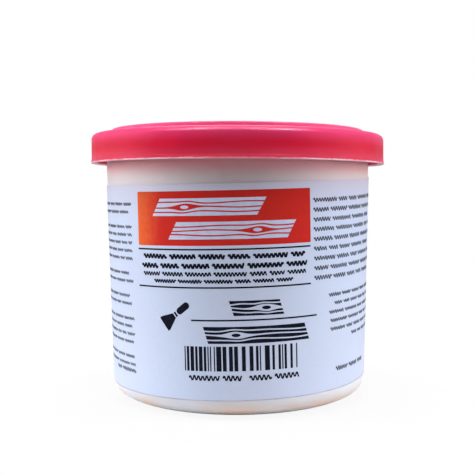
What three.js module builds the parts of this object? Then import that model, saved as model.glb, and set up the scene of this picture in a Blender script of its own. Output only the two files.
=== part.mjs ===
// A snap-lid tub of wood filler putty: moulded tub, putty fill, wrap-round label and lid.
// Millimetres, +Z up. The origin is the centre of the base, on the surface that the tub stands on.
// The middle of the label faces -Y.
import * as THREE from 'three';

// Tub
const tubHeight = 61.4; // from the base to the top of the rim
const tubBaseRadius = 29.92; // outside of the wall, carried down to the base
const tubDraft = 1.55; // degrees that the wall leans outwards
const tubWall = 1.1;
const tubFloor = 1.3;
const baseBevel = 4.9; // width of the sloping band round the base
const baseRise = 2.6; // height of that band
const baseUpperRound = 3.2; // where the band meets the wall
const baseLowerRound = 10; // where the band meets the foot ring
const innerCorner = 4; // inside, between the wall and the floor
const footWidth = 6.5; // from the band to the inside of the foot ring
const footRecess = 1; // height of the hollow inside that ring
const rimOverhang = 1.73; // rim flange, outside the wall
const rimDepth = 3; // rim flange, down the wall
const rimTaper = 0.8; // rise of the flange's underside
const rimEdge = 0.5;

// Lid
const lidPanel = 1.1; // thickness of the lid's top
const lidSkirt = 1.2; // thickness of the skirt
const skirtDepth = 6.9; // from the lid's shoulder to the skirt's lower edge
const shoulderRound = 1.4;
const lipHeight = 0.5; // thin lip round the skirt's lower edge
const lipFlare = 0.15;
const ringHeight = 1.15; // stacking ring, above the shoulder
const ringWidth = 1.4;
const ringInset = 4.8; // from the lid's outside to the ring
const ringEdge = 0.35;
const panelDrop = 0.6; // lid's middle, below the shoulder
const plugDepth = 3.6; // sealing plug, below the rim
const plugWall = 1;
const plugLead = 0.5; // chamfer that guides the plug in
const snapBead = 0.33; // bead inside the skirt, under the rim flange
const snapBeadHalf = 0.6; // half of the bead's height

// Label
const labelThickness = 0.15;
const labelFootMargin = 4.45; // from the base to the label's lower edge, at the front
const labelTopMargin = 5; // from the label's upper edge to the lid's skirt, at the front
const labelSeamGap = 8; // bare wall between the label's ends, at the back
const labelSkew = 0.8; // degrees that the label was put on askew

// Putty
const headspace = 7; // from the lid's plug to the top of the putty
const puttyCrown = 0.8; // rise of the putty's top towards its middle

// Clearances
const seatGap = 0.1; // rim to the lid's underside
const plugClearance = 0.25; // plug to the mouth of the tub
const snapClearance = 0.15; // snap bead to the rim flange
const labelGap = 0.08; // label's adhesive
const puttyGap = 0.1; // putty to the tub

// Facets of the round shapes
const facets = 64; // round the axis
const cornerSteps = 5; // in a rounded corner
const smallCorner = 1; // radius below which a corner takes fewer steps
const smallCornerSteps = 2;
const crownSteps = 4;
const labelRows = 5; // up the label

// Places that the sizes give
const draft = THREE.MathUtils.degToRad(tubDraft);
const wallOutside = (z) => tubBaseRadius + z * Math.tan(draft);
const wallInside = (z) => wallOutside(z) - tubWall / Math.cos(draft);
const floorTop = footRecess + tubFloor;
const rimUnderside = tubHeight - rimDepth;
const rimRadius = wallOutside(tubHeight) + rimOverhang;
const lidSeat = tubHeight + seatGap;
const shoulderTop = lidSeat + lidPanel;
const skirtBottom = shoulderTop - skirtDepth;
const skirtInside = rimRadius + snapClearance + snapBead;
const lidRadius = skirtInside + lidSkirt;
const plugBottom = lidSeat - plugDepth;
const plugRadius = wallInside(plugBottom) - plugClearance;
const puttyTop = plugBottom - headspace;
const labelHeight = skirtBottom - labelTopMargin - labelFootMargin;
const labelMiddle = labelFootMargin + labelHeight / 2;
const labelLength = 2 * Math.PI * wallOutside(labelMiddle) - labelSeamGap;

// A solid turned about Z from [radius, height, corner radius] points, each corner rounded by a tangent arc.
function turned(corners) {
  const points = corners.map(([radius, height]) => new THREE.Vector2(radius, height));
  const outline = corners.flatMap(([, , round], i) => {
    if (!round) return [points[i]];
    const back = points[i - 1].clone().sub(points[i]).normalize();
    const ahead = points[i + 1].clone().sub(points[i]).normalize();
    const half = back.angleTo(ahead) / 2;
    const middle = back.clone().add(ahead).setLength(round / Math.sin(half)).add(points[i]);
    const reach = round / Math.tan(half);
    const start = back.clone().multiplyScalar(reach).add(points[i]).sub(middle).angle();
    const end = ahead.clone().multiplyScalar(reach).add(points[i]).sub(middle).angle();
    const clockwise = back.cross(ahead) > 0;
    const steps = round < smallCorner ? smallCornerSteps : cornerSteps;
    return new THREE.EllipseCurve(middle.x, middle.y, round, round, start, end, clockwise).getPoints(steps);
  });
  return new THREE.LatheGeometry(outline, facets).rotateX(Math.PI / 2);
}

// Cup with a softly bevelled base, a foot ring and a flanged rim for the lid.
function tubGeometry() {
  const footInside = tubBaseRadius - baseBevel - footWidth;
  return turned([
    [0, footRecess],
    [footInside - footRecess, footRecess],
    [footInside, 0],
    [tubBaseRadius - baseBevel, 0, baseLowerRound],
    [wallOutside(baseRise), baseRise, baseUpperRound],
    [wallOutside(rimUnderside), rimUnderside, rimEdge],
    [rimRadius, rimUnderside + rimTaper],
    [rimRadius, tubHeight, rimEdge],
    [wallInside(tubHeight), tubHeight, rimEdge],
    [wallInside(floorTop), floorTop, innerCorner],
    [0, floorTop],
  ]);
}

// Snap lid: the plug seals inside the mouth, and the skirt's bead holds under the rim flange.
function lidGeometry() {
  const panelTop = shoulderTop - panelDrop;
  const ringOutside = lidRadius - ringInset;
  const ringTop = shoulderTop + ringHeight;
  const beadMiddle = rimUnderside - snapBeadHalf;
  return turned([
    [0, panelTop - lidPanel],
    [plugRadius - plugWall, panelTop - lidPanel],
    [plugRadius - plugWall, plugBottom],
    [plugRadius - plugLead, plugBottom],
    [plugRadius, plugBottom + plugLead],
    [plugRadius, lidSeat],
    [skirtInside, lidSeat],
    [skirtInside, beadMiddle + snapBeadHalf],
    [skirtInside - snapBead, beadMiddle],
    [skirtInside, beadMiddle - snapBeadHalf],
    [skirtInside, skirtBottom],
    [lidRadius + lipFlare, skirtBottom],
    [lidRadius + lipFlare, skirtBottom + lipHeight],
    [lidRadius, skirtBottom + lipHeight + lipFlare],
    [lidRadius, shoulderTop, shoulderRound],
    [ringOutside, shoulderTop],
    [ringOutside, ringTop, ringEdge],
    [ringOutside - ringWidth, ringTop, ringEdge],
    [ringOutside - ringWidth, panelTop],
    [0, panelTop],
  ]);
}

// Paste that fills the tub, with a slightly crowned top.
function puttyGeometry() {
  const edge = puttyTop - puttyCrown;
  const radius = wallInside(edge) - puttyGap;
  const crown = Array.from({ length: crownSteps + 1 }, (_, i) => {
    const share = 1 - i / crownSteps;
    return [radius * share, edge + puttyCrown * (1 - share * share)];
  });
  const bottom = floorTop + puttyGap;
  return turned([[0, bottom], [wallInside(bottom) - puttyGap, bottom, innerCorner], ...crown]);
}

// A point of the flat label laid on the leaning wall, with the wall unrolled about the cone's apex.
function onWall(along, up, standoff) {
  const skew = THREE.MathUtils.degToRad(labelSkew);
  const flat = new THREE.Vector2(along, up).rotateAround(new THREE.Vector2(), skew);
  const apexToMiddle = wallOutside(labelMiddle) / Math.sin(draft);
  const slant = Math.hypot(flat.x, apexToMiddle + flat.y);
  const turn = Math.atan2(flat.x, apexToMiddle + flat.y) / Math.sin(draft);
  const radius = slant * Math.sin(draft) + standoff * Math.cos(draft);
  const height = labelMiddle + (slant - apexToMiddle) * Math.cos(draft) - standoff * Math.sin(draft);
  return new THREE.Vector3(radius * Math.sin(turn), -radius * Math.cos(turn), height);
}

// Straight-cut sheet wrapped round the wall, so its ends ride up at the back as on any leaning wall.
function labelGeometry() {
  const sheet = new THREE.BoxGeometry(labelLength, labelThickness, labelHeight, facets, 1, labelRows);
  const corner = sheet.getAttribute('position');
  for (let i = 0; i < corner.count; i += 1) {
    const standoff = labelGap + labelThickness / 2 - corner.getY(i);
    const wrapped = onWall(corner.getX(i), corner.getZ(i), standoff);
    corner.setXYZ(i, wrapped.x, wrapped.y, wrapped.z);
  }
  sheet.computeVertexNormals();
  return sheet;
}

function piece(name, geometry, finish) {
  const mesh = new THREE.Mesh(geometry, new THREE.MeshStandardMaterial({ ...finish, metalness: 0 }));
  mesh.name = name;
  return mesh;
}

const puttyTub = new THREE.Group();
puttyTub.add(
  piece('tub', tubGeometry(), { color: 0xe4e2e6, roughness: 0.4 }),
  piece('putty', puttyGeometry(), { color: 0x7a3b28, roughness: 0.7 }),
  piece('label', labelGeometry(), { color: 0xd6dcec, roughness: 0.45 }),
  piece('lid', lidGeometry(), { color: 0xd42a4c, roughness: 0.35 }),
);

export default puttyTub;
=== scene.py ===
import math
import random

import bmesh
import bpy
from mathutils import Matrix, Vector, noise

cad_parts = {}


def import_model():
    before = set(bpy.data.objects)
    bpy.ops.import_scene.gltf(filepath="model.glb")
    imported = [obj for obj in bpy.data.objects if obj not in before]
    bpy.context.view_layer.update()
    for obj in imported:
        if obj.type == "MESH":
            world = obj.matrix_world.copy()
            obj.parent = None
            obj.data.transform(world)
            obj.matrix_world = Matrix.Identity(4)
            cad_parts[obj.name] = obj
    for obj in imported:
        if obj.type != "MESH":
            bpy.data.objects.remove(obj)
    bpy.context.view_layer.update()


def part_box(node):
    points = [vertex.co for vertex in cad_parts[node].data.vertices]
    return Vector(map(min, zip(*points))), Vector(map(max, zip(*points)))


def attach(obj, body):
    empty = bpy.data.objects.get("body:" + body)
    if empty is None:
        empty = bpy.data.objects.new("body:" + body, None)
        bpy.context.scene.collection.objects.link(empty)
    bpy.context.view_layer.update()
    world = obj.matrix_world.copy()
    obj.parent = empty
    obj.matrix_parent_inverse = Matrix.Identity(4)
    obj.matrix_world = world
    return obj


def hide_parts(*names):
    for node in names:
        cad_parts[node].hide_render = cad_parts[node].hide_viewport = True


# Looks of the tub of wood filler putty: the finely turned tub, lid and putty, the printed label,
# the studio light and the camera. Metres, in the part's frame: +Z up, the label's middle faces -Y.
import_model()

MM = 0.001

# Places taken from the frame
RIM_RADIUS, _, RIM_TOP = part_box("tub")[1]
LIP_RADIUS, _, LID_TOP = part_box("lid")[1]
SKIRT_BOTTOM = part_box("lid")[0].z
PUTTY_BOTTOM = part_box("putty")[0].z
PUTTY_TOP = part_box("putty")[1].z

# Tub
TUB_BASE_RADIUS = 29.92 * MM
TUB_DRAFT = math.radians(1.55)
TUB_WALL = 1.1 * MM
TUB_FLOOR_TOP = 2.3 * MM
BASE_BEVEL = 4.9 * MM
BASE_RISE = 2.6 * MM
BASE_UPPER_ROUND = 3.6 * MM
BASE_LOWER_ROUND = 12 * MM
INNER_CORNER = 4 * MM
FOOT_WIDTH = 6.5 * MM
FOOT_RECESS = 1 * MM
RIM_DEPTH = 3 * MM
RIM_TAPER = 0.8 * MM
RIM_EDGE = 0.5 * MM
GATE_RADIUS = 1.6 * MM
GATE_HEIGHT = 0.35 * MM
GATE_ROUND = 0.2 * MM

# Lid
SEAT_GAP = 0.1 * MM
LID_PANEL = 1.1 * MM
LID_SKIRT = 1.2 * MM
LIP_HEIGHT = 0.5 * MM
LIP_FLARE = 0.15 * MM
SHOULDER_ROUND = 1.4 * MM
RING_HEIGHT = 1.15 * MM
RING_WIDTH = 1.4 * MM
RING_INSET = 4.8 * MM
RING_EDGE = 0.35 * MM
PANEL_DROP = 0.6 * MM
PLUG_DEPTH = 3.6 * MM
PLUG_WALL = 1 * MM
PLUG_LEAD = 0.5 * MM
PLUG_CLEARANCE = 0.25 * MM
SNAP_BEAD = 0.33 * MM
SNAP_BEAD_HALF = 0.6 * MM
SHOULDER_TOP = LID_TOP - RING_HEIGHT
LID_TILT = 0.0111  # slope of the lid's outer skin: pressed home a little further on the right
LID_TILT_TURN = math.radians(6.9)  # side that the slope is seen from, from -Y towards +X

# Putty
PUTTY_GAP = 0.12 * MM
PUTTY_LIFT = 0.02 * MM
PUTTY_EDGE_DROP = 0.8 * MM
PUTTY_CROWN = 0.75 * MM
SWEEP_DEPTH = 1.1 * MM
SWEEP_PITCH = 7.5 * MM

# Label, laid flat: along the wall from the label's middle, and up from its middle
LABEL_THICKNESS = 0.15 * MM
LABEL_GAP = 0.08 * MM
LABEL_FOOT_MARGIN = 4.45 * MM
LABEL_TOP_MARGIN = 5 * MM
LABEL_SEAM_GAP = 8 * MM
LABEL_SKEW = math.radians(0.8)
LABEL_HEIGHT = SKIRT_BOTTOM - LABEL_TOP_MARGIN - LABEL_FOOT_MARGIN
LABEL_MIDDLE = LABEL_FOOT_MARGIN + LABEL_HEIGHT / 2
INK = 0.012 * MM
PRINT_STEP = 1.0 * MM  # longest run of ink that stays straight along the wall
PRINT_SEED = 12

# Facets of the round shapes
FACETS = 192
CORNER_STEPS = 8
PUTTY_RINGS = 64
ON_AXIS = 1e-7  # radius below which a ring is one point
TURNED_CREASE = math.radians(40)  # sharper edges than these stay sharp
PRINT_CREASE = math.radians(30)
WELD = 1e-7  # points of the print that are closer than this become one
SLIVER = 1e-6  # and shorter edges than this go

# Colours, in linear light
MILK_GREY = (0.70, 0.73, 0.80, 1)
MILK_WHITE = (0.78, 0.81, 0.88, 1)
PASTE_THROUGH_WALL = (0.84, 0.63, 0.53, 1)
NECK_PAINTED_SHADE = (0.64, 0.47, 0.44, 1)
NECK_PAINTED_RED_BOUNCE = (0.86, 0.42, 0.47, 1)
LID_RED = (0.64, 0.005, 0.036, 1)
LID_RED_LIGHT = (0.72, 0.009, 0.048, 1)
LID_SHOULDER_PAINTED_LIGHT = (0.90, 0.072, 0.26, 1)
LID_RING_PAINTED_SHEEN = (0.78, 0.13, 0.34, 1)
LID_PALER_LOW = (0.78, 0.10, 0.19, 1)
LIP_WHITENING_AND_HIGHLIGHT = (0.95, 0.62, 0.72, 1)
PAPER_BLUE = (0.55, 0.63, 0.84, 1)
PAPER_WHITE = (0.61, 0.69, 0.88, 1)
PAPER_CLOUD = (0.62, 0.67, 0.84, 1)
PAPER_PAINTED_SHADE = (0.59, 0.42, 0.47, 1)
PANEL_RED = (0.57, 0.019, 0.014, 1)
PANEL_RED_LIGHT = (0.65, 0.029, 0.021, 1)
PANEL_ORANGE = (0.80, 0.13, 0.030, 1)
PANEL_PAINTED_SHADE = (0.34, 0.010, 0.006, 1)
NAVY = (0.003, 0.004, 0.010, 1)
NAVY_THIN = (0.008, 0.010, 0.022, 1)
SLATE = (0.030, 0.035, 0.060, 1)
SLATE_THIN = (0.058, 0.066, 0.100, 1)
BOARD = (0.54, 0.61, 0.82, 1)
BOARD_LIGHT = (0.60, 0.67, 0.88, 1)
EDGE_PAINTED_SHADOW = (0.44, 0.36, 0.42, 1)
EDGE_PAINTED_SHADOW_LIGHT = (0.56, 0.50, 0.58, 1)
PASTE_DARK = (0.105, 0.028, 0.014, 1)
PASTE_BROWN = (0.20, 0.060, 0.030, 1)
PASTE_FLECK = (0.34, 0.15, 0.085, 1)
FLOOR_NEAR = (0.68, 0.68, 0.68, 1)
FLOOR_FAR = (0.2, 0.2, 0.2, 1)
WHITE = (1, 1, 1, 1)

# Materials: the usual range of a fog's values, and the painted shade that the lid throws
FOG_LOW = 0.3
FOG_HIGH = 0.7
SKY_SAMPLES = 32
MOST_SHADE = 0.6

# Soft lamps that only reflections show, at turns from the camera's side
SOFTBOX_TURNS = (math.radians(-45), math.radians(45))
SOFTBOX_ELEVATION = math.radians(52)
SOFTBOX_EDGE = math.radians(16)
SOFTBOX_CORE = math.radians(9)
SOFTBOX_GLOW = 26.0

# Stage
FLOOR_HALF = 2.0
LAMP_AIM = Vector((0, 0, 30 * MM))
ROOM_FILL = 0.1
MIRRORED_FRONT = 0.06  # share of the white that reflections show in front of the tub
MIRRORED_BACK = 0.3  # and behind it
MIRRORED_SIDES = 0.6
SHADOW_KEPT = 0.90  # share of plain white under the tub, so that its shadow shows

# Camera, in the photograph's frame
IMAGE_PIXELS = 474
FOCAL_PIXELS = 900
SENSOR_MM = 36
CAMERA_DISTANCE = 219.3 * MM
CAMERA_HEIGHT = 47.38 * MM
CAMERA_TURN = math.radians(6.9)
CAMERA_PITCH = -0.0422
CAMERA_YAW = 0.0012
CAMERA_ROLL = -0.0076
CAMERA_CLIP = 10 * MM


def wall_outside(height):
    return TUB_BASE_RADIUS + height * math.tan(TUB_DRAFT)


def wall_inside(height):
    return wall_outside(height) - TUB_WALL / math.cos(TUB_DRAFT)


LABEL_LENGTH = 2 * math.pi * wall_outside(LABEL_MIDDLE) - LABEL_SEAM_GAP


# Mesh helpers

def rounded(corners):
    """Outline points from (radius, height) corners. A third number rounds its corner by a tangent arc."""
    outline = []
    for i, corner in enumerate(corners):
        here = Vector(corner[:2])
        if len(corner) == 2:
            outline.append(here)
            continue
        back = (Vector(corners[i - 1][:2]) - here).normalized()
        ahead = (Vector(corners[i + 1][:2]) - here).normalized()
        half = back.angle(ahead) / 2
        middle = here + (back + ahead).normalized() * corner[2] / math.sin(half)
        reach = corner[2] / math.tan(half)
        first = here + back * reach - middle
        last = here + ahead * reach - middle
        sweep = first.angle(last)
        for k in range(CORNER_STEPS + 1):
            turn = sweep * k / CORNER_STEPS
            arm = first * math.sin(sweep - turn) + last * math.sin(turn)
            outline.append(middle + arm / math.sin(sweep))
    return outline


def stretched(outline, longest):
    """The outline with its long straight runs split into steps no longer than longest."""
    points = [outline[0]]
    for here, there in zip(outline, outline[1:]):
        steps = max(1, math.ceil((there - here).length / longest))
        points += [here.lerp(there, (k + 1) / steps) for k in range(steps)]
    return points


def placed(name, data):
    """A new object in the scene that holds the mesh, lamp or camera data."""
    made = bpy.data.objects.new(name, data)
    bpy.context.scene.collection.objects.link(made)
    return made


def mesh_object(name, verts, faces):
    mesh = bpy.data.meshes.new(name)
    mesh.from_pydata(verts, [], faces)
    mesh.validate()
    return placed(name, mesh)


def smooth(piece, angle):
    piece.data.polygons.foreach_set("use_smooth", [True] * len(piece.data.polygons))
    piece.data.set_sharp_from_angle(angle=angle)


def turned(name, outline, shift):
    """A closed solid turned about Z. shift(angle, radius, height) gives its small departures from true."""
    verts = []
    rings = []
    for radius, height in outline:
        if radius < ON_AXIS:
            rings.append([len(verts)] * FACETS)
            verts.append((0, 0, height))
            continue
        rings.append(range(len(verts), len(verts) + FACETS))
        for k in range(FACETS):
            angle = 2 * math.pi * k / FACETS
            out, up = shift(angle, radius, height)
            reach = radius + out
            verts.append((reach * math.sin(angle), -reach * math.cos(angle), height + up))
    faces = []
    for low, high in zip(rings, rings[1:]):
        for k in range(FACETS):
            following = (k + 1) % FACETS
            corners = dict.fromkeys((low[k], low[following], high[following], high[k]))
            faces.append(list(corners))
    made = mesh_object(name, verts, faces)
    smooth(made, TURNED_CREASE)
    return made


def ripple(angle, height, waves, seed):
    """Smooth noise from -1 to 1 that closes on itself round the axis."""
    spot = Vector((math.cos(angle) * waves, math.sin(angle) * waves, height / MM + seed))
    return noise.noise(spot)


def share_of(value):
    """The value, held between 0 and 1."""
    return max(0.0, min(1.0, value))


# Node helpers

def plug(tree, socket, value):
    """Links another node's output to the socket, or sets a plain value on it."""
    if isinstance(value, bpy.types.NodeSocket):
        tree.links.new(value, socket)
    else:
        socket.default_value = value


def feed(tree, target, inputs):
    for key, value in inputs.items():
        plug(tree, target.inputs[key.replace("_", " ")], value)


def shader(name, **inputs):
    made = bpy.data.materials.new(name)
    made.use_nodes = True
    tree = made.node_tree
    surface = tree.nodes["Principled BSDF"]
    feed(tree, surface, inputs)
    return made, tree, surface


def node(tree, kind, settings=None, **inputs):
    made = tree.nodes.new(kind)
    for key, value in (settings or {}).items():
        setattr(made, key, value)
    feed(tree, made, inputs)
    return made


def place(tree):
    """Coordinates in the part's own frame, in metres."""
    return node(tree, "ShaderNodeTexCoord").outputs["Object"]


def coordinate(tree, where, axis):
    """One coordinate, X, Y or Z."""
    return node(tree, "ShaderNodeSeparateXYZ", Vector=where).outputs[axis]


def component(tree, vector, direction):
    """Length of the vector along a fixed direction."""
    made = node(tree, "ShaderNodeVectorMath", {"operation": "DOT_PRODUCT"}, Vector=vector)
    made.inputs[1].default_value = direction
    return made.outputs["Value"]


def length(tree, vector):
    return node(tree, "ShaderNodeVectorMath", {"operation": "LENGTH"}, Vector=vector).outputs["Value"]


def from_axis(tree, where):
    """Distance from the part's Z axis, in metres."""
    flat = node(tree, "ShaderNodeVectorMath", {"operation": "MULTIPLY"}, Vector=where)
    flat.inputs[1].default_value = (1, 1, 0)
    return length(tree, flat.outputs["Vector"])


def fog(tree, where, scale, detail=2.0):
    """Soft noise from 0 to 1, with scale cells to the metre."""
    return node(tree, "ShaderNodeTexNoise", Vector=where, Scale=scale, Detail=detail).outputs["Fac"]


def span(tree, value, low, high, to_low=0.0, to_high=1.0):
    """Runs smoothly from to_low, where the value is low, to to_high, where it is high."""
    return node(
        tree, "ShaderNodeMapRange", {"interpolation_type": "SMOOTHSTEP"},
        Value=value, From_Min=low, From_Max=high, To_Min=to_low, To_Max=to_high,
    ).outputs["Result"]


def uneven(tree, cloud, to_low=0.0, to_high=1.0):
    """Runs from to_low to to_high over a fog's usual range."""
    return span(tree, cloud, FOG_LOW, FOG_HIGH, to_low, to_high)


def blend(tree, factor, first, second):
    made = node(tree, "ShaderNodeMix", {"data_type": "RGBA"})
    plug(tree, made.inputs[0], factor)
    plug(tree, made.inputs[6], first)
    plug(tree, made.inputs[7], second)
    return made.outputs[2]


def math_node(tree, operation, first, second):
    made = node(tree, "ShaderNodeMath", {"operation": operation})
    plug(tree, made.inputs[0], first)
    plug(tree, made.inputs[1], second)
    return made.outputs[0]


def times(tree, first, second):
    return math_node(tree, "MULTIPLY", first, second)


def larger(tree, first, second):
    return math_node(tree, "MAXIMUM", first, second)


def hidden(tree, reach):
    """Share of the sky that surfaces within reach hide, from 0 in the open."""
    sky = node(tree, "ShaderNodeAmbientOcclusion", {"samples": SKY_SAMPLES}, Distance=reach)
    return math_node(tree, "SUBTRACT", 1.0, sky.outputs["AO"])


def bump(tree, surface, height, strength, distance):
    made = node(tree, "ShaderNodeBump", Height=height, Strength=strength, Distance=distance)
    tree.links.new(made.outputs["Normal"], surface.inputs["Normal"])


def dress(piece, material, body):
    piece.data.materials.append(material)
    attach(piece, body)


# Materials

def tub_plastic():
    """Milky natural plastic. The paste tints its foot; painted shade and painted red bounce light from the
    lid darken and redden its neck.
    """
    made, tree, surface = shader(
        "tub_plastic", Subsurface_Weight=0.25, Subsurface_Scale=2 * MM, Specular_IOR_Level=0.5,
    )
    where = place(tree)
    height = coordinate(tree, where, "Z")
    milk = blend(tree, fog(tree, where, 90), MILK_GREY, MILK_WHITE)
    patches = span(tree, fog(tree, where, 75, 3), 0.36, 0.58, 0.1, 0.9)
    foot = times(tree, span(tree, height, 5.2 * MM, 1.8 * MM), patches)
    warm = blend(tree, foot, milk, PASTE_THROUGH_WALL)
    below_lip = span(tree, height, SKIRT_BOTTOM + 1 * MM, SKIRT_BOTTOM)
    outside = span(tree, from_axis(tree, where), RIM_RADIUS - 3 * MM, RIM_RADIUS - 2.5 * MM)
    neck = times(tree, times(tree, below_lip, outside), span(tree, height, 45 * MM, 50 * MM))
    # Painted shade and painted red bounce light on the neck, as strong as the lid hides the sky.
    under_lid = hidden(tree, 12 * MM)
    shade = times(tree, math_node(tree, "POWER", under_lid, 0.6), 1.75)
    neck_painted_shade = blend(tree, times(tree, shade, neck), warm, NECK_PAINTED_SHADE)
    glow = times(tree, span(tree, under_lid, 0.08, 0.40), neck)
    feed(tree, surface, {
        "Base Color": blend(tree, glow, neck_painted_shade, NECK_PAINTED_RED_BOUNCE),
        "Roughness": uneven(tree, fog(tree, where, 400, 4), 0.30, 0.42),
    })
    bump(tree, surface, fog(tree, where, 700, 3), 0.08, 0.3 * MM)
    return made


def lid_plastic():
    """Pink-red soft plastic with faint flow marks, paler in patches towards the skirt's foot, with painted
    top light on the shoulder, a painted sheen on the ring and a whitened, partly painted highlight along the
    thin lip.
    """
    made, tree, surface = shader(
        "lid_plastic", Subsurface_Weight=0.4, Subsurface_Scale=2 * MM, Specular_IOR_Level=0.4,
    )
    where = place(tree)
    slope = (LID_TILT * math.cos(LID_TILT_TURN), LID_TILT * math.sin(LID_TILT_TURN), 1)
    height = component(tree, where, slope)
    flow = node(tree, "ShaderNodeMapping", Vector=where, Scale=(40, 40, 260)).outputs["Vector"]
    marks = fog(tree, flow, 1.0, 3)
    red = blend(tree, uneven(tree, marks), LID_RED, LID_RED_LIGHT)
    # Painted top light: the shoulder is paler where light from above falls on it.
    ledge = span(tree, from_axis(tree, where), LIP_RADIUS - 7 * MM, LIP_RADIUS - 2 * MM, 0.2, 1.0)
    brow = span(tree, height, SHOULDER_TOP - 3.6 * MM, SHOULDER_TOP - 0.2 * MM, 0.0, 0.75)
    shoulder_painted_light = blend(tree, times(tree, brow, ledge), red, LID_SHOULDER_PAINTED_LIGHT)
    # Painted sheen on the stacking ring's top.
    ring = span(tree, height, SHOULDER_TOP + 0.1 * MM, SHOULDER_TOP + 0.6 * MM)
    pink = blend(tree, times(tree, ring, 0.8), shoulder_painted_light, LID_RING_PAINTED_SHEEN)
    # The skirt turns paler in patches towards its foot.
    paler_low = span(tree, height, SKIRT_BOTTOM + 3 * MM, SKIRT_BOTTOM + 0.8 * MM, 0.0, 0.8)
    with_paler_foot = blend(tree, times(tree, paler_low, marks), pink, LID_PALER_LOW)
    # The thin lip is paler: partly whitened flash, partly a painted highlight along its edge.
    ragged = math_node(tree, "ADD", height, times(tree, fog(tree, where, 900, 2), 0.3 * MM))
    lip = span(tree, ragged, SKIRT_BOTTOM + 0.52 * MM, SKIRT_BOTTOM + 0.30 * MM)
    whitening_and_highlight = span(tree, fog(tree, where, 130, 2), 0.35, 0.6, 0.45, 1.0)
    feed(tree, surface, {
        "Base Color": blend(tree, times(tree, lip, whitening_and_highlight), with_paler_foot, LIP_WHITENING_AND_HIGHLIGHT),
        "Roughness": uneven(tree, fog(tree, where, 300, 4), 0.28, 0.40),
    })
    bump(tree, surface, fog(tree, where, 350, 2), 0.05, 0.3 * MM)
    return made


def label_paper():
    """Coated bluish-white label paper with a trace of fibre, with painted shade and painted red bounce light
    from the lid along its upper edge.
    """
    made, tree, surface = shader("label_paper", Specular_IOR_Level=0.45)
    where = place(tree)
    fibre = fog(tree, where, 1500, 5)
    paper = blend(tree, fibre, PAPER_BLUE, PAPER_WHITE)
    clouds = span(tree, fog(tree, where, 35, 2), 0.35, 0.7, 0.0, 0.5)
    cloudy = blend(tree, clouds, paper, PAPER_CLOUD)
    # Painted shade of the lid, tinted by painted red light bounced from it, along the upper edge.
    upper = span(tree, coordinate(tree, where, "Z"), 40 * MM, 46 * MM, 0.0, 5.0)
    shade = math_node(tree, "MINIMUM", times(tree, upper, hidden(tree, 14 * MM)), MOST_SHADE)
    feed(tree, surface, {
        "Base Color": blend(tree, shade, cloudy, PAPER_PAINTED_SHADE),
        "Roughness": uneven(tree, fog(tree, where, 250, 3), 0.32, 0.44),
    })
    bump(tree, surface, fibre, 0.05, 0.2 * MM)
    return made


def ink(name, first, second, scale, gloss):
    """Printing ink, slightly uneven in its cover."""
    made, tree, surface = shader(name, Specular_IOR_Level=gloss)
    cover = uneven(tree, fog(tree, place(tree), scale, 4))
    feed(tree, surface, {
        "Base Color": blend(tree, cover, first, second),
        "Roughness": span(tree, cover, 0.0, 1.0, 0.34, 0.44),
    })
    return made


def panel_ink():
    """Red panel that turns orange towards its left end, with painted shade of the lid along its upper edge.
    """
    made, tree, surface = shader("panel_ink", Specular_IOR_Level=0.2)
    where = place(tree)
    grain = fog(tree, where, 800, 4)
    red = blend(tree, grain, PANEL_RED, PANEL_RED_LIGHT)
    across = math_node(tree, "ADD", coordinate(tree, where, "X"), times(tree, grain, 4 * MM))
    sunny = blend(tree, span(tree, across, -10.5 * MM, -17.5 * MM), red, PANEL_ORANGE)
    # Painted shade of the lid along the panel's upper edge.
    shade = math_node(tree, "MINIMUM", times(tree, hidden(tree, 14 * MM), 7.0), MOST_SHADE)
    feed(tree, surface, {
        "Base Color": blend(tree, shade, sunny, PANEL_PAINTED_SHADE),
        "Roughness": uneven(tree, grain, 0.34, 0.44),
    })
    return made


def putty_paste():
    """Wet mahogany-brown filler paste with fine grit."""
    made, tree, surface = shader("putty_paste", Specular_IOR_Level=0.4, Subsurface_Weight=0.05)
    where = place(tree)
    swirl = fog(tree, where, 120, 4)
    brown = blend(tree, uneven(tree, swirl), PASTE_DARK, PASTE_BROWN)
    grit = fog(tree, where, 2200, 2)
    feed(tree, surface, {
        "Base Color": blend(tree, span(tree, grit, 0.62, 0.75, 0.0, 0.5), brown, PASTE_FLECK),
        "Roughness": uneven(tree, swirl, 0.38, 0.62),
    })
    bump(tree, surface, grit, 0.35, 0.3 * MM)
    return made


# Pieces

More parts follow.
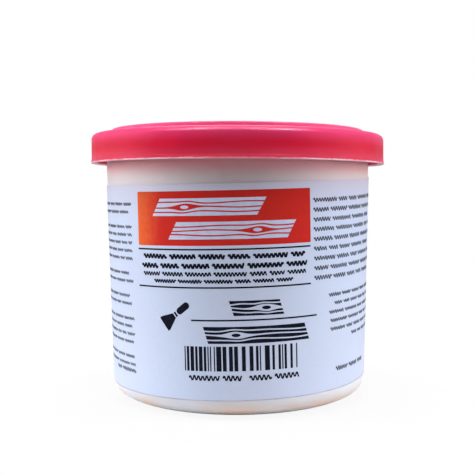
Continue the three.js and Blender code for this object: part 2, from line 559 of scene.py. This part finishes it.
def tub():
    """Cup with rounded base, foot ring and rim flange, and the gate mark under its floor."""
    foot_inside = TUB_BASE_RADIUS - BASE_BEVEL - FOOT_WIDTH
    rim_underside = RIM_TOP - RIM_DEPTH
    outline = rounded([
        (0, FOOT_RECESS - GATE_HEIGHT),
        (GATE_RADIUS, FOOT_RECESS - GATE_HEIGHT, GATE_ROUND),
        (GATE_RADIUS + GATE_HEIGHT, FOOT_RECESS, GATE_ROUND),
        (foot_inside - FOOT_RECESS, FOOT_RECESS, 0.4 * MM),
        (foot_inside, 0, 0.3 * MM),
        (TUB_BASE_RADIUS - BASE_BEVEL, 0, BASE_LOWER_ROUND),
        (wall_outside(BASE_RISE), BASE_RISE, BASE_UPPER_ROUND),
        (wall_outside(rim_underside), rim_underside, RIM_EDGE),
        (RIM_RADIUS, rim_underside + RIM_TAPER, RIM_EDGE / 2),
        (RIM_RADIUS, RIM_TOP, RIM_EDGE),
        (wall_inside(RIM_TOP), RIM_TOP, RIM_EDGE),
        (wall_inside(TUB_FLOOR_TOP), TUB_FLOOR_TOP, INNER_CORNER),
        (0, TUB_FLOOR_TOP),
    ])
    wobble = 0.02 * MM
    true_foot = 10 * MM
    true_neck = 55 * MM
    fade = 5 * MM

    def shift(angle, radius, height):
        """The wall wanders a little between its foot and its neck."""
        if height < true_neck - fade:
            free = min(1.0, height / true_foot)
        else:
            free = max(0.0, (true_neck - height) / fade)
        return wobble * free * ripple(angle, height / 20, 1.6, 3.0), 0.0

    made = turned("tub_shell", stretched(outline, 2 * MM), shift)
    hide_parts("tub")
    dress(made, tub_plastic(), "tub")


def lid():
    """Snap lid with stacking ring, sealing plug, snap bead and a thin, slightly ragged lip."""
    lid_radius = LIP_RADIUS - LIP_FLARE
    panel_top = SHOULDER_TOP - PANEL_DROP
    seat = RIM_TOP + SEAT_GAP
    skirt_inside = lid_radius - LID_SKIRT
    plug_bottom = seat - PLUG_DEPTH
    plug_radius = wall_inside(plug_bottom) - PLUG_CLEARANCE
    ring_outside = lid_radius - RING_INSET
    bead = RIM_TOP - RIM_DEPTH - SNAP_BEAD_HALF
    bead_foot = bead - SNAP_BEAD_HALF
    outline = rounded([
        (0, panel_top - LID_PANEL),
        (plug_radius - PLUG_WALL, panel_top - LID_PANEL, 0.5 * MM),
        (plug_radius - PLUG_WALL, plug_bottom, 0.3 * MM),
        (plug_radius - PLUG_LEAD, plug_bottom, 0.2 * MM),
        (plug_radius, plug_bottom + PLUG_LEAD, 0.2 * MM),
        (plug_radius, seat, 0.3 * MM),
        (skirt_inside, seat, 0.5 * MM),
        (skirt_inside, bead + SNAP_BEAD_HALF, 0.2 * MM),
        (skirt_inside - SNAP_BEAD, bead, 0.3 * MM),
        (skirt_inside, bead_foot, 0.2 * MM),
        (skirt_inside, SKIRT_BOTTOM, 0.3 * MM),
        (LIP_RADIUS, SKIRT_BOTTOM, 0.10 * MM),
        (LIP_RADIUS, SKIRT_BOTTOM + LIP_HEIGHT / 2, 0.15 * MM),
        (lid_radius, SKIRT_BOTTOM + 2 * LIP_HEIGHT, 0.8 * MM),
        (lid_radius, SHOULDER_TOP, SHOULDER_ROUND),
        (ring_outside, SHOULDER_TOP, 0.25 * MM),
        (ring_outside, LID_TOP, RING_EDGE),
        (ring_outside - RING_WIDTH, LID_TOP, RING_EDGE),
        (ring_outside - RING_WIDTH, panel_top, 0.4 * MM),
        (GATE_RADIUS + GATE_HEIGHT, panel_top, GATE_ROUND),
        (GATE_RADIUS, panel_top + GATE_HEIGHT, GATE_ROUND),
        (0, panel_top + GATE_HEIGHT),
    ])
    dent_depth = 0.05 * MM
    rag_depth = 0.06 * MM
    rag_drop = 0.10 * MM
    rag_reach = 2 * MM

    def skin(radius, height):
        """1 on the lid's outer skin, 0 on the faces that fit the tub, and between in the skirt's foot."""
        if radius > skirt_inside + LID_SKIRT / 2 or height > seat + LID_PANEL / 4:
            return 1.0
        if radius <= skirt_inside - SNAP_BEAD / 2:
            return 0.0
        return max(0.0, (bead_foot - height) / (bead_foot - SKIRT_BOTTOM))

    def shift(angle, radius, height):
        """Shallow dents in the skirt, the lip's ragged edge and the lid's tilt."""
        outer = share_of((radius - skirt_inside) / LID_SKIRT)
        low = share_of((SKIRT_BOTTOM + rag_reach - height) / rag_reach)
        dent = dent_depth * outer * ripple(angle, height / 12, 2.2, 7.0)
        rag = low * outer * ripple(angle, 0, 26.0, 1.0)
        ragged = rag_drop * rag * (1 if height < SKIRT_BOTTOM + LIP_HEIGHT else 0.4)
        tilt = LID_TILT * radius * math.sin(angle - LID_TILT_TURN) * skin(radius, height)
        return dent - rag_depth * abs(rag), ragged - tilt

    made = turned("lid_cap", stretched(outline, 2 * MM), shift)
    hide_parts("lid")
    dress(made, lid_plastic(), "lid")


def putty():
    """Paste with a slightly crowned top, swept round in a spiral by a knife."""
    edge = PUTTY_TOP - PUTTY_EDGE_DROP
    rim = wall_inside(edge) - PUTTY_GAP
    bottom = PUTTY_BOTTOM + PUTTY_LIFT
    top = []
    for k in range(PUTTY_RINGS + 1):
        share = 1 - k / PUTTY_RINGS
        top.append(Vector((rim * share, edge + PUTTY_CROWN * (1 - share ** 2))))
    outline = rounded([
        (0, bottom),
        (wall_inside(PUTTY_BOTTOM) - PUTTY_GAP, bottom, INNER_CORNER),
        tuple(top[0]),
    ]) + top[1:]
    long_side = 0.72  # share of each sweep's width that rises
    short_side = 0.28

    def shift(angle, radius, height):
        """The knife's sweeps, lumps and grit in the top, fading at its middle and its rim."""
        if height < edge:
            return 0.0, 0.0
        share = min(1.0, radius / rim)
        spot = Vector((radius * math.sin(angle), radius * math.cos(angle), 0))
        wander = noise.noise(spot / (11 * MM))
        turn = (angle / (2 * math.pi) - radius / SWEEP_PITCH + 0.6 * wander) % 1.0
        ridge = turn / long_side if turn < long_side else (1 - turn) / short_side
        sweep = 3 * ridge ** 2 - 2 * ridge ** 3
        lump = 0.18 * MM * noise.noise(spot / (2.2 * MM)) + 0.07 * MM * noise.noise(spot / (0.8 * MM))
        fade = math.sin(math.pi * min(1.0, 0.12 + 0.88 * share)) ** 0.7
        return 0.0, (lump - SWEEP_DEPTH * (1 - sweep)) * fade

    made = turned("putty_fill", stretched(outline, 3 * MM), shift)
    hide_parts("putty")
    dress(made, putty_paste(), "tub")


def on_wall(along, up, standoff):
    """A point of the flat label laid on the leaning wall, standoff above the wall."""
    flat = Matrix.Rotation(LABEL_SKEW, 2) @ Vector((along, up))
    apex_to_middle = wall_outside(LABEL_MIDDLE) / math.sin(TUB_DRAFT)
    slant = math.hypot(flat.x, apex_to_middle + flat.y)
    turn = math.atan2(flat.x, apex_to_middle + flat.y) / math.sin(TUB_DRAFT)
    rise = standoff + 0.02 * MM * noise.noise(Vector((along, up, 0)) / (9 * MM))
    radius = slant * math.sin(TUB_DRAFT) + rise * math.cos(TUB_DRAFT)
    height = LABEL_MIDDLE + (slant - apex_to_middle) * math.cos(TUB_DRAFT) - rise * math.sin(TUB_DRAFT)
    return Vector((radius * math.sin(turn), -radius * math.cos(turn), height))


def wrapped(name, flat, low, high):
    """A flat bmesh of the label's plane, thickened from low to high above the wall and laid on the wall."""
    raised = bmesh.ops.extrude_face_region(flat, geom=flat.faces[:], use_keep_orig=True)["geom"]
    upper = {v for v in raised if isinstance(v, bmesh.types.BMVert)}
    for vert in flat.verts:
        vert.co = on_wall(vert.co.x, vert.co.y, high if vert in upper else low)
    mesh = bpy.data.meshes.new(name)
    flat.to_mesh(mesh)
    flat.free()
    made = placed(name, mesh)
    smooth(made, PRINT_CREASE)
    return made


def label():
    """Straight-cut sheet wrapped round the wall."""
    columns, rows = 250, 30
    sheet = bmesh.new()
    grid = []
    for i in range(columns + 1):
        along = LABEL_LENGTH * (i / columns - 0.5)
        grid.append([sheet.verts.new((along, LABEL_HEIGHT * (j / rows - 0.5), 0)) for j in range(rows + 1)])
    for i in range(columns):
        for j in range(rows):
            sheet.faces.new((grid[i][j], grid[i + 1][j], grid[i + 1][j + 1], grid[i][j + 1]))
    made = wrapped("label_sheet", sheet, LABEL_GAP, LABEL_GAP + LABEL_THICKNESS)
    # The thin sheet hides no sky from the wall beside its cut edge, where the neck's painted shade would
    # else show a red line.
    made.visible_shadow = False
    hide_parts("label")
    dress(made, label_paper(), "tub")


def printed(name, shapes, layer, material):
    """Flat shapes, in millimetres on the label, as thin ink on its face."""
    flat = bmesh.new()
    for shape in shapes:
        flat.faces.new([flat.verts.new((along * MM, up * MM, 0)) for along, up in shape])
    bmesh.ops.remove_doubles(flat, verts=flat.verts[:], dist=WELD)
    bmesh.ops.triangulate(flat, faces=flat.faces[:])
    reach = [v.co.x for v in flat.verts]
    first = math.ceil(min(reach) / PRINT_STEP)
    last = math.floor(max(reach) / PRINT_STEP)
    for k in range(first, last + 1):
        every = flat.verts[:] + flat.edges[:] + flat.faces[:]
        cut = (k * PRINT_STEP, 0, 0)
        bmesh.ops.bisect_plane(flat, geom=every, plane_co=cut, plane_no=(1, 0, 0), dist=SLIVER)
    bmesh.ops.dissolve_degenerate(flat, dist=SLIVER, edges=flat.edges[:])
    face = LABEL_GAP + LABEL_THICKNESS
    made = wrapped(name, flat, face - INK, face + INK * layer)
    dress(made, material, "tub")


# Shapes of the print, in millimetres on the flat label

def box(left, low, right, high):
    return [(left, low), (right, low), (right, high), (left, high)]


def ribbon(points, width):
    """Quads along a line of points."""
    edges = []
    for i, point in enumerate(points):
        before = Vector(points[max(i - 1, 0)])
        after = Vector(points[min(i + 1, len(points) - 1)])
        side = (after - before).normalized().orthogonal() * width / 2
        edges.append((tuple(Vector(point) - side), tuple(Vector(point) + side)))
    return [[a[0], b[0], b[1], a[1]] for a, b in zip(edges, edges[1:])]


def scribble(draw, left, base, long, tall, stroke):
    """One greeked word: a wavy line with no letters in it."""
    wave_steps = 6
    wave_width = 0.62 * tall
    steps = max(wave_steps, round(long / wave_width * wave_steps))
    swing = 1.0
    points = []
    for k in range(steps + 1):
        if k % (wave_steps // 2) == 0:
            swing = draw.uniform(0.65, 1.0)
        wave = swing * max(-1.0, min(1.0, 1.6 * math.sin(2 * math.pi * k / wave_steps)))
        points.append((left + long * k / steps, base + tall / 2 + (tall - stroke) / 2 * wave))
    return ribbon(points, stroke)


def greek_line(draw, left, right, base, tall, stroke):
    """A line of greeked words that fills from left to right."""
    shortest = 1.5 * tall
    space = 0.55 * tall
    shapes = []
    at = left
    while right - at > shortest:
        long = min(draw.uniform(2.2, 6.0) * tall, right - at)
        shapes += scribble(draw, at, base, long, tall, stroke)
        at += long + space
    return shapes


def greek_block(draw, left, right, top, pitch, lines, tall, stroke, ragged, flush="left"):
    """Paragraphs of greeked lines. lines holds the line count of each paragraph."""
    shapes = []
    base = top - tall
    for count in lines:
        for k in range(count):
            short = draw.uniform(0, ragged) if k < count - 1 else draw.uniform(ragged, 3 * ragged)
            ends = (left, right - short) if flush == "left" else (left + short, right)
            shapes += greek_line(draw, ends[0], ends[1], base, tall, stroke)
            base -= pitch
        base -= pitch * 0.9
    return shapes


def panel_shape(left, low, right, high, corner):
    """A rounded rectangle."""
    steps = 6
    points = []
    for x, y, start in ((right, high, 0), (left, high, 90), (left, low, 180), (right, low, 270)):
        middle = (x - corner if x == right else x + corner, y - corner if y == high else y + corner)
        for k in range(steps + 1):
            turn = math.radians(start + 90 / steps * k)
            points.append((middle[0] + corner * math.cos(turn), middle[1] + corner * math.sin(turn)))
    return points


def board(draw, left, low, long, tall, knot, lean):
    """A lying board with slanted ends, split into strips by its grain, which parts round a knot."""
    strips, steps = 4, 26
    slit = 0.3
    sway = 0.16
    knot_reach = 2.4
    knot_half = (0.95, 0.38)
    knot_corners = 16
    phases = [draw.uniform(0, 2 * math.pi) for _ in range(strips + 1)]

    def grain(k, share, side):
        """A point beside the k-th line of the grain, above it or below it."""
        height = tall * k / strips
        if 0 < k < strips:
            near = math.exp(-((share * long - knot) / knot_reach) ** 2)
            wave = sway * math.sin(2.6 * math.pi * share + phases[k]) * (1 - near)
            opening = 0.62 * near if k == strips / 2 else 0.0
            height += wave + 0.3 * near * (k - strips / 2) + side * (slit / 2 + opening)
        return left + long * share + lean * height, low + height

    shapes = []
    for k in range(strips):
        for j in range(steps):
            start = j / steps
            end = (j + 1) / steps
            lower = [grain(k, start, 1), grain(k, end, 1)]
            shapes.append(lower + [grain(k + 1, end, -1), grain(k + 1, start, -1)])
    x = left + knot + lean * tall / 2
    y = low + tall / 2
    eye = []
    for k in range(knot_corners):
        turn = math.radians(360 / knot_corners * k)
        eye.append((x + knot_half[0] * math.cos(turn), y + knot_half[1] * math.sin(turn)))
    return shapes + [eye]


def putty_knife(middle, turn):
    """A putty knife: flared blade, ferrule and rounded handle."""
    handle = panel_shape(-0.75, 0.75, 0.75, 4.1, 0.7)
    ferrule = box(-0.6, 0.05, 0.6, 0.5)
    blade = [(-0.6, -0.2), (-1.75, -2.9), (-1.75, -3.5), (1.75, -3.5), (1.75, -2.9), (0.6, -0.2)]
    spin = Matrix.Rotation(turn, 2)
    return [[tuple(spin @ Vector(p) + Vector(middle)) for p in shape] for shape in (handle, ferrule, blade)]


def code_bars(draw, left, right, low, high):
    """Upright bars of mixed widths that stand for no number."""
    unit = 0.27
    shapes = []
    at = left
    while at < right - 4 * unit:
        width = draw.choice((1, 1, 2, 3, 4)) * unit
        shapes.append(box(at, low, at + width, high))
        at += width + draw.choice((1, 1, 2, 3)) * unit
    return shapes


def label_print():
    """Panel and boards, rules, greeked text, a putty knife and bars. The back is left bare."""
    draw = random.Random(PRINT_SEED)
    navy = ink("navy_ink", NAVY, NAVY_THIN, 900, 0.1)
    slate = ink("slate_ink", SLATE, SLATE_THIN, 900, 0.1)
    white = ink("white_ink", BOARD, BOARD_LIGHT, 700, 0.35)
    edge = ink("edge_painted_shadow", EDGE_PAINTED_SHADOW, EDGE_PAINTED_SHADOW_LIGHT, 300, 0.35)
    printed("label_panel", [panel_shape(-20, 10.05, 20, 21.65, 0.2)], 1, panel_ink())
    boards = board(draw, left=-15.5, low=16.4, long=23.5, tall=3.7, knot=7.0, lean=0.55)
    boards += board(draw, left=-11.5, low=11.4, long=26.0, tall=3.7, knot=18.5, lean=0.55)
    printed("label_boards", boards, 2, white)

    dark = [box(-20.15, 9.08, 19.9, 9.42), box(-20.25, 0.98, 19.9, 1.32), box(-6.65, -5.97, 21.3, -5.63)]
    headlines = (
        (7.73, 1.45, 0.46, 1.6),
        (5.71, 1.45, 0.46, 1.0),
        (3.98, 1.2, 0.32, 1.4),
        (2.46, 1.05, 0.32, 4.5),
    )
    for middle, tall, stroke, inset in headlines:
        dark += greek_line(draw, -20 + inset, 20 - inset, middle - tall / 2, tall, stroke)
    dark += putty_knife((-10.4, -4.8), math.radians(-52))
    dark += board(draw, left=2.6, low=-4.85, long=10.8, tall=3.2, knot=7.4, lean=-0.3)
    dark += board(draw, left=-3.0, low=-10.75, long=22.2, tall=3.6, knot=6.5, lean=-0.3)
    dark += code_bars(draw, -8.35, 17.6, -16.65, -11.35)
    dark += greek_line(draw, -7.4, 4.0, -18.9, 1.5, 0.34)
    dark += greek_line(draw, 5.6, 16.6, -18.9, 1.5, 0.34)
    printed("label_dark_print", dark, 1, navy)

    small = greek_block(draw, -47, -22.5, 19.4, 1.75, (2, 5, 2, 2, 4, 2), 0.9, 0.2, 2.5, "right")
    small += greek_block(draw, 20.9, 48, 19.6, 2.1, (9,), 1.2, 0.27, 1.5)
    small += greek_block(draw, 24, 48, -1.4, 1.9, (6,), 1.0, 0.24, 4.0, "right")
    small += greek_line(draw, -32, -22.5, -18.9, 1.1, 0.24)
    small += greek_line(draw, 27, 40, -19.2, 1.3, 0.3)
    printed("label_small_print", small, 1, slate)

    half = LABEL_LENGTH / MM / 2
    low = -LABEL_HEIGHT / MM / 2
    # A painted shadow line along the label's lower edge.
    printed("label_edge_painted_shadow", [box(-half + 0.1, low + 0.03, half - 0.1, low + 0.25)], 1, edge)


# Stage

def floor():
    """White floor: it keeps the shadow near the tub and turns plain white further out."""
    corners = [(-FLOOR_HALF, -FLOOR_HALF, 0), (FLOOR_HALF, -FLOOR_HALF, 0)]
    corners += [(FLOOR_HALF, FLOOR_HALF, 0), (-FLOOR_HALF, FLOOR_HALF, 0)]
    made = mesh_object("floor", corners, [(0, 1, 2, 3)])
    paint = bpy.data.materials.new("floor_white")
    paint.use_nodes = True
    tree = paint.node_tree
    tree.nodes.clear()
    where = place(tree)
    reach = length(tree, where)
    sheet = blend(tree, span(tree, reach, 60 * MM, 140 * MM), FLOOR_NEAR, FLOOR_FAR)
    matte = node(tree, "ShaderNodeBsdfDiffuse", Color=sheet).outputs["BSDF"]
    glow = node(tree, "ShaderNodeEmission", Color=WHITE, Strength=1.0).outputs["Emission"]
    rays = node(tree, "ShaderNodeLightPath")
    back = coordinate(tree, where, "Y")
    behind = span(tree, back, -20 * MM, 150 * MM, MIRRORED_FRONT, MIRRORED_BACK)
    mirrored = times(tree, rays.outputs["Is Glossy Ray"], behind)
    seen = larger(tree, rays.outputs["Is Camera Ray"], mirrored)
    seen = larger(tree, seen, rays.outputs["Is Transmission Ray"])
    white = times(tree, seen, span(tree, reach, 26 * MM, 60 * MM, SHADOW_KEPT, 1.0))
    both = node(tree, "ShaderNodeMixShader")
    tree.links.new(white, both.inputs[0])
    tree.links.new(matte, both.inputs[1])
    tree.links.new(glow, both.inputs[2])
    out = node(tree, "ShaderNodeOutputMaterial", Surface=both.outputs[0])
    out.is_active_output = True
    made.data.materials.append(paint)


def outwards(azimuth, elevation):
    """Unit direction from the tub, at an azimuth from -Y towards +X."""
    level = math.cos(elevation)
    return Vector((math.sin(azimuth) * level, -math.cos(azimuth) * level, math.sin(elevation)))


def softbox(tree, heading, azimuth):
    """Brightness of a soft lamp that only reflections show."""
    towards = component(tree, heading, outwards(azimuth, SOFTBOX_ELEVATION))
    return span(tree, towards, math.cos(SOFTBOX_EDGE), math.cos(SOFTBOX_CORE), 0.0, SOFTBOX_GLOW)


def world():
    """White backdrop and a weak fill. Reflections show dim backdrop, pale side walls and soft lamps."""
    made = bpy.data.worlds.new("studio")
    bpy.context.scene.world = made
    made.use_nodes = True
    tree = made.node_tree
    rays = node(tree, "ShaderNodeLightPath")
    heading = node(tree, "ShaderNodeTexCoord").outputs["Generated"]
    back = coordinate(tree, heading, "Y")
    behind = span(tree, back, 0.0, 0.9, MIRRORED_FRONT, MIRRORED_BACK)
    sideways = math_node(tree, "ABSOLUTE", coordinate(tree, heading, "X"), 0.0)
    room = larger(tree, behind, span(tree, sideways, 0.7, 0.97, 0.0, MIRRORED_SIDES))
    for turn in SOFTBOX_TURNS:
        room = larger(tree, room, softbox(tree, heading, CAMERA_TURN + turn))
    seen = larger(tree, rays.outputs["Is Camera Ray"], rays.outputs["Is Transmission Ray"])
    seen = larger(tree, seen, times(tree, rays.outputs["Is Glossy Ray"], room))
    feed(tree, tree.nodes["Background"], {"Color": WHITE, "Strength": larger(tree, seen, ROOM_FILL)})


def lamp(name, azimuth, elevation, distance, size, power, mirrored):
    """A square soft lamp aimed at the tub. Angles are in degrees, the azimuth from -Y towards +X."""
    data = bpy.data.lights.new(name, "AREA")
    data.shape = "SQUARE"
    data.size = size
    data.energy = power
    out = outwards(math.radians(azimuth), math.radians(elevation))
    made = placed(name, data)
    made.location = LAMP_AIM + out * distance
    made.rotation_mode = "QUATERNION"
    made.rotation_quaternion = (-out).to_track_quat("-Z", "Y")
    made.visible_camera = False
    made.visible_glossy = mirrored


def camera():
    data = bpy.data.cameras.new("camera")
    data.sensor_width = SENSOR_MM
    data.lens = SENSOR_MM * FOCAL_PIXELS / IMAGE_PIXELS
    data.clip_start = CAMERA_CLIP
    made = placed("camera", data)
    heading = Matrix.Rotation(CAMERA_TURN + CAMERA_YAW, 4, "Z")
    tilt = Matrix.Rotation(math.pi / 2 + CAMERA_PITCH, 4, "X")
    roll = Matrix.Rotation(CAMERA_ROLL, 4, "Z")
    at = Vector((
        CAMERA_DISTANCE * math.sin(CAMERA_TURN),
        -CAMERA_DISTANCE * math.cos(CAMERA_TURN),
        CAMERA_HEIGHT,
    ))
    made.matrix_world = Matrix.Translation(at) @ heading @ tilt @ roll
    bpy.context.scene.camera = made


camera()
tub()
lid()
putty()
label()
label_print()
floor()
world()
lamp("lamp_left", azimuth=-80, elevation=22, distance=0.55, size=0.34, power=3.15, mirrored=False)
lamp("lamp_right", azimuth=90, elevation=19, distance=0.55, size=0.34, power=2.7, mirrored=False)
lamp("lamp_top", azimuth=7, elevation=64, distance=0.7, size=0.4, power=2.5, mirrored=True)
lamp("lamp_back", azimuth=187, elevation=48, distance=0.7, size=0.4, power=1.1, mirrored=True)

bpy.context.scene.view_settings.view_transform = "Standard"
